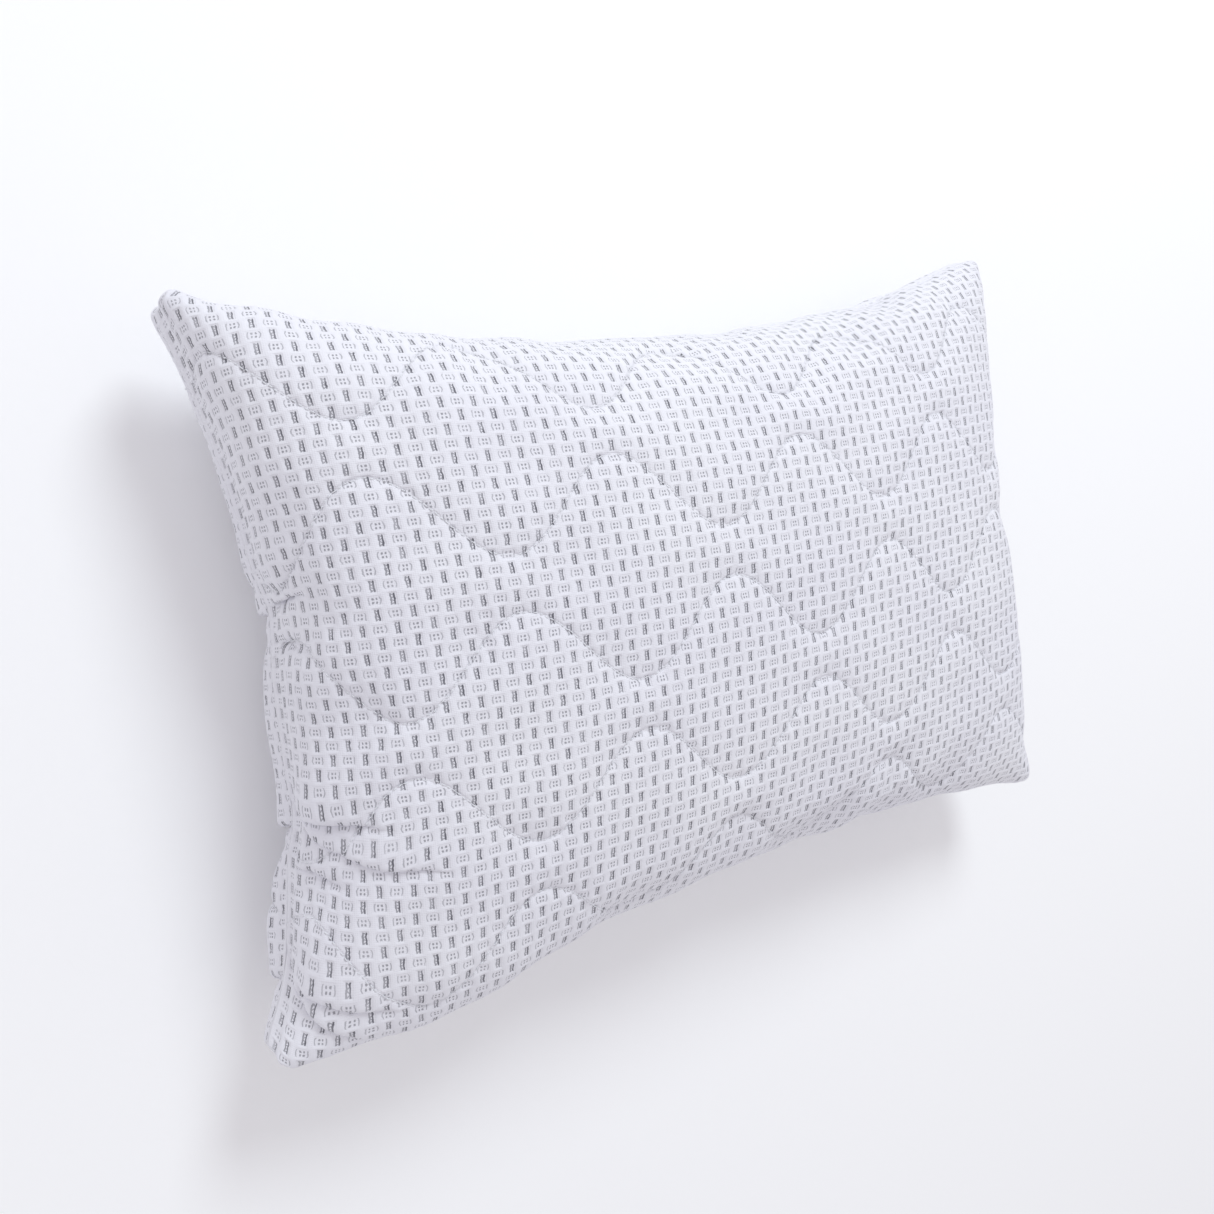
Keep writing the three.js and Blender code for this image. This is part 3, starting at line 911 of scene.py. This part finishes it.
# a surface inside the cover: the cover's own shape without its weave, drawn back from the seam by a
# margin and from the thin ears by more, and moved inwards by a depth that grows towards the seam
def innerSurface(side, size, depth, margin, seamDepth=0.0):
    cover = covers[side]
    x, y, edge = flatGrid(size)
    if margin > 0:
        margin = margin + rim["earMargin"] * np.exp(-(cornerDistance(x, y) / rim["earReach"]) ** 2)
    x = x * (1 - margin / (shape["cutLength"] / 2))
    y = y * (1 - margin / (shape["cutWidth"] / 2))
    points = sampleGrid(cover["plain"], x, y)
    inward = depth + seamDepth * np.exp(-edge / rim["seamReach"])
    return points - sampleGrid(cover["normals"], x, y) * inward[..., None]


def flatUv(x, y):
    return np.stack([x / shape["cutLength"] + 0.5, y / shape["cutWidth"] + 0.5], -1).reshape(-1, 2)


fabric = {"thickness": 1.2 * mm, "fill": 0.85}


def coverPiece(name, side, node):
    cover = covers[side]
    inner = innerSurface(side, coarseSize, fabric["thickness"], 0.0)
    x, y, edge = flatGrid(coarseSize)
    points = np.concatenate([cover["outer"].reshape(-1, 3), inner.reshape(-1, 3)])
    uv = np.concatenate([flatUv(cover["x"], cover["y"]), flatUv(x, y)])
    attributes = {
        "rowDistance": np.concatenate([cover["rowDistance"].ravel(), rowDistance(x, y)[0].ravel()]) / mm,
        "seamDistance": np.concatenate([cover["edge"].ravel(), edge.ravel()]) / mm,
    }
    faces = shellFaces(cover["outer"].shape[:2], coarseSize, side)
    piece = meshObject(name, points, faces, materials["knit_face_fabric"], uv, attributes)
    placePiece(piece, "knit_face_fabric", fabric["fill"], node)


coverPiece("frontCover", 1, "front_face_fabric")
coverPiece("backCover", -1, "back_face_fabric")
print("covers made")


# the layers under each cover, from outside in: how deep each begins and ends, and how far its rim
# stops short of the seam
layers = {
    "Wadding": {"from": 2.6 * mm, "to": 7.0 * mm, "margin": 8 * mm, "slot": "polyester_wadding"},
    "Backing": {"from": 7.4 * mm, "to": 8.0 * mm, "margin": 9 * mm, "slot": "nonwoven_backing"},
}
filling = {"depth": 8.6 * mm, "margin": 11 * mm, "seamDepth": 6 * mm, "fill": 0.85}


def layerPiece(sideName, side, layerName):
    layer = layers[layerName]
    size = tuple(2 * (n - 1) + 1 for n in coarseSize)
    outer = innerSurface(side, size, layer["from"], layer["margin"])
    inner = innerSurface(side, coarseSize, layer["to"], layer["margin"] + 1 * mm)
    points = np.concatenate([outer.reshape(-1, 3), inner.reshape(-1, 3)])
    uv = np.concatenate([flatUv(*flatGrid(size)[:2]), flatUv(*flatGrid(coarseSize)[:2])])
    faces = shellFaces(size, coarseSize, side)
    piece = meshObject(sideName + layerName, points, faces, materials[layer["slot"]], uv)
    placePiece(piece, layer["slot"], fabric["fill"], sideName + "_" + layerName.lower())


def fillPiece():
    top, bottom = (innerSurface(side, coarseSize, filling["depth"], filling["margin"], filling["seamDepth"])
                   for side in (1, -1))
    points = np.concatenate([top.reshape(-1, 3), bottom.reshape(-1, 3)])
    faces = shellFaces(coarseSize, coarseSize, 1)
    piece = meshObject("fibreFill", points, faces, materials["fibre_fill"])
    placePiece(piece, "fibre_fill", filling["fill"], "fibre_fill")


for sideName, side in (("front", 1), ("back", -1)):
    for layerName in layers:
        layerPiece(sideName, side, layerName)
fillPiece()
print("inner layers made")


thread = {
    "quiltingRadius": 0.42 * mm,
    "quiltingPitch": 3.8 * mm,
    "seamRadius": 0.3 * mm,
    "seamPitch": 3.0 * mm,
    "seamInset": 2.5 * mm,
    "overlockInset": 9 * mm,
    "overlockWidth": 4 * mm,
    "overlockPitch": 3.5 * mm,
    "overlockLift": 0.9 * mm,
    "closingLength": 0.260,
    "closingInset": 3.0 * mm,
    "lift": 0.45 * mm,  # the middle of a stitch over the fabric, and how far its ends dive
    "dive": 0.8 * mm,
    "twist": 0.9 * mm,
    "sides": 6,
    "tubeSides": 5,
    "stitchReach": 0.47,  # half a stitch, as a share of the pitch
    "stitchStations": (-1, -0.62, 0, 0.62, 1),  # along half a stitch; the first and last are its points
    "stitchSwell": (0.8, 1, 0.8),  # radius at the stations between them
    "rowSteps": 2400,
    "closingSteps": 600,
    "loopSmoothing": 8,
}


# running length along a path of points
def runningLength(points):
    return np.insert(np.cumsum(np.linalg.norm(np.diff(points, axis=0), axis=1)), 0, 0)


# values given at a path's points, at any stations of its running length
def alongPath(stations, run, values):
    return np.stack([np.interp(stations, run, values[:, k]) for k in range(3)], -1)


# stitches along a path: each is a spindle with three rings, the middle one as thick as the thread and the
# others a little thinner, closed by a point at each end; it arches from the fabric and dives back into it
def stitchMesh(path, up, pitch, radius):
    run = runningLength(path)
    count = int(run[-1] / pitch)
    sides = thread["sides"]
    p = np.array(thread["stitchStations"])
    station = (np.arange(count)[:, None] + 0.5 + thread["stitchReach"] * p) * pitch
    centre = alongPath(station, run, path)
    out = alongPath(station, run, up)
    out /= np.linalg.norm(out, axis=-1, keepdims=True)
    centre += out * (thread["lift"] - thread["dive"] * p ** 2)[:, None]
    centre[..., 2] = np.maximum(centre[..., 2], radius)  # pressed flat where the pillow rests
    ahead = np.gradient(centre, axis=1)
    across = np.cross(ahead, out)
    across /= np.linalg.norm(across, axis=-1, keepdims=True)
    angle = np.arange(sides) / sides * 2 * np.pi
    ringRadius = radius * np.array(thread["stitchSwell"])[:, None, None]
    around = across[:, 1:4, None] * np.cos(angle)[:, None] + out[:, 1:4, None] * np.sin(angle)[:, None]
    rings = centre[:, 1:4, None] + ringRadius * around
    points = np.concatenate([rings.reshape(count, -1, 3), centre[:, [0, 4]]], 1)
    each = points.shape[1]
    ring = np.arange(sides)
    following = (ring + 1) % sides
    quads = np.concatenate([np.stack([a + ring, a + following, a + sides + following, a + sides + ring], -1)
                            for a in (0, sides)])
    last = 2 * sides
    tips = np.concatenate([np.stack([following, ring, np.full(sides, each - 2)], -1),
                           np.stack([last + ring, last + following, np.full(sides, each - 1)], -1)])
    offset = np.arange(count)[:, None, None] * each
    ringRun = np.repeat(station[:, 1:4, None], sides, 2).reshape(count, -1)
    u = np.concatenate([ringRun, station[:, [0, 4]]], 1)
    v = np.tile(np.concatenate([np.tile(angle / (2 * np.pi), 3), [0, 0]]), (count, 1))
    uv = np.stack([u / thread["twist"], v], -1).reshape(-1, 2)
    return points.reshape(-1, 3), [(quads + offset).reshape(-1, 4), (tips + offset).reshape(-1, 3)], uv


def quiltingRowPiece(sideName, side, row):
    cover = covers[side]
    reach = shape["cutLength"] / 2 - quilting["rowEndMargin"]
    x = np.linspace(-reach, reach, thread["rowSteps"])
    y, _ = rowLine(x, row)
    path = sampleGrid(cover["plain"], x, y)
    up = sampleGrid(cover["normals"], x, y)
    points, faces, uv = stitchMesh(path, up, thread["quiltingPitch"], thread["quiltingRadius"])
    number = str(row + 1)
    piece = meshObject(sideName + "QuiltingRow" + number, points, faces, materials["quilting_thread"], uv)
    placePiece(piece, "quilting_thread", None, sideName + "_quilting_row_" + number)


for sideName, side in (("front", 1), ("back", -1)):
    for row in range(quilting["rowCount"]):
        quiltingRowPiece(sideName, side, row)
print("quilting rows made")


# the seam line as a closed loop from the middle of the neck edge, counter-clockwise, drawn inwards in
# plan by an inset; a few turns of smoothing keep it from crossing itself in the ears
def seamLoop(inset):
    base = covers[1]["base"]
    ring = base.reshape(-1, 3)[gridBorder(*base.shape[:2])]
    ring = np.roll(ring, -(base.shape[0] // 2), axis=0)
    for _ in range(thread["loopSmoothing"]):
        ring = (np.roll(ring, 1, 0) + 2 * ring + np.roll(ring, -1, 0)) / 4
    along = np.roll(ring, -1, 0) - np.roll(ring, 1, 0)
    along /= np.linalg.norm(along[:, :2], axis=1, keepdims=True)
    inward = np.stack([-along[:, 1], along[:, 0], np.zeros(len(along))], -1)
    return ring + inward * inset, inward


# the part of a loop that leaves half the closing length open at each end
def openLoop(points):
    run = runningLength(points)
    gap = thread["closingLength"] / 2
    return (run > gap) & (run < run[-1] - gap)


# overlock stitches wrap the raw edge: a thread that swings across it and over it in long loops
def overlockPath():
    inner, inward = seamLoop(thread["overlockInset"])
    keep = openLoop(inner)
    inner, inward = inner[keep], inward[keep]
    run = runningLength(inner)
    stations = np.arange(0, run[-1], thread["overlockPitch"] / 4)
    path = alongPath(stations, run, inner)
    turned = alongPath(stations, run, inward)
    phase = 2 * np.pi * stations / thread["overlockPitch"]
    path = path - turned * (thread["overlockWidth"] / 2 * (1 - np.cos(phase)) / 2)[:, None]
    path[:, 2] += thread["overlockLift"] * np.sin(phase)
    return path


# a round thread along a path, closed by a point at each end
def threadTube(path, radius):
    sides = thread["tubeSides"]
    along = np.gradient(path, axis=0)
    along /= np.linalg.norm(along, axis=1, keepdims=True)
    across = np.cross(along, (0, 0, 1))
    across /= np.linalg.norm(across, axis=1, keepdims=True)
    out = np.cross(across, along)
    angle = np.arange(sides) / sides * 2 * np.pi
    around = across[:, None] * np.cos(angle)[:, None] + out[:, None] * np.sin(angle)[:, None]
    rings = path[:, None] + radius * around
    count = len(path)
    index = np.arange(count * sides).reshape(count, sides)
    a, b = index[:-1], np.roll(index, -1, 1)[:-1]
    c, d = np.roll(index, -1, 1)[1:], index[1:]
    quads = np.stack([a, b, c, d], -1).reshape(-1, 4)
    tips = np.concatenate([
        np.stack([np.roll(index[0], -1), index[0], np.full(sides, count * sides)], -1),
        np.stack([index[-1], np.roll(index[-1], -1), np.full(sides, count * sides + 1)], -1)])
    ends = path[[0, -1]] + along[[0, -1]] * [[-radius], [radius]]
    points = np.concatenate([rings.reshape(-1, 3), ends])
    run = runningLength(path) / thread["twist"]
    uv = np.stack([np.repeat(run, sides), np.tile(angle / (2 * np.pi), count)], -1)
    return points, [quads, tips], np.concatenate([uv, [[0, 0], [run[-1], 0]]])


def seamPieces():
    line, _ = seamLoop(thread["seamInset"])
    keep = openLoop(line)
    upward = np.tile([0.0, 0.0, 1.0], (keep.sum(), 1))
    points, faces, uv = stitchMesh(line[keep], upward, thread["seamPitch"], thread["seamRadius"])
    piece = meshObject("perimeterSeamThread", points, faces, materials["sewing_thread"], uv)
    placePiece(piece, "sewing_thread", None, "perimeter_seam_thread")

    points, faces, uv = threadTube(overlockPath(), thread["seamRadius"])
    piece = meshObject("overlockThread", points, faces, materials["sewing_thread"], uv)
    placePiece(piece, "sewing_thread", None, "overlock_thread")

    # the closing seam is sewn from outside once the filling is in, so its stitches show on both panels
    reach = thread["closingLength"] / 2
    x = np.linspace(-reach, reach, thread["closingSteps"])
    y = np.full(x.shape, -shape["cutWidth"] / 2 + thread["closingInset"])
    rows = [stitchMesh(sampleGrid(covers[side]["plain"], x, y), sampleGrid(covers[side]["normals"], x, y),
                       thread["seamPitch"], thread["seamRadius"]) for side in (1, -1)]
    points = np.concatenate([row[0] for row in rows])
    faces = rows[0][1] + [f + len(rows[0][0]) for f in rows[1][1]]
    piece = meshObject("closingSeamThread", points, faces, materials["sewing_thread"],
                       np.concatenate([row[2] for row in rows]))
    placePiece(piece, "sewing_thread", None, "closing_seam_thread")


seamPieces()
print("seam threads made")


studio = {
    "floor": "fdfdfe",
    "floorRoughness": 0.9,
    "floorGloss": 0.1,
    "floorReach": 12.0,
    "sky": "f0eef2",
    "skyStrength": 0.80,
    "keyPlace": (0.5, 2.0, 2.0),
    "keySize": 1.2,
    "keyPower": 36,
    "keyColour": "f0f9fc",
}


# smooth painted board, matt and nearly white
def makeFloor():
    material, tree, shader = newMaterial("mattWhiteBoard")
    shader.inputs["Base Color"].default_value = hexColour(studio["floor"])
    shader.inputs["Roughness"].default_value = studio["floorRoughness"]
    shader.inputs["Specular IOR Level"].default_value = studio["floorGloss"]
    reach = studio["floorReach"]
    corners = [(-reach, -reach, 0), (reach, -reach, 0), (reach, reach, 0), (-reach, reach, 0)]
    meshObject("floor", corners, [np.array([(0, 1, 2, 3)])], material)


def makeLight():
    world = bpy.data.worlds.new("studio")
    world.use_nodes = True
    background = world.node_tree.nodes["Background"]
    background.inputs[0].default_value = hexColour(studio["sky"])
    background.inputs[1].default_value = studio["skyStrength"]
    bpy.context.scene.world = world
    bpy.context.scene.view_settings.view_transform = "Standard"
    data = bpy.data.lights.new("keyLight", "AREA")
    data.shape = "DISK"
    data.size = studio["keySize"]
    data.energy = studio["keyPower"]
    data.color = hexColour(studio["keyColour"])[:3]
    lamp = bpy.data.objects.new("keyLight", data)
    lamp.location = studio["keyPlace"]
    lamp.rotation_euler = (-lamp.location).to_track_quat("-Z", "Y").to_euler()
    bpy.context.collection.objects.link(lamp)


makeFloor()
makeLight()
print("floor and light made")
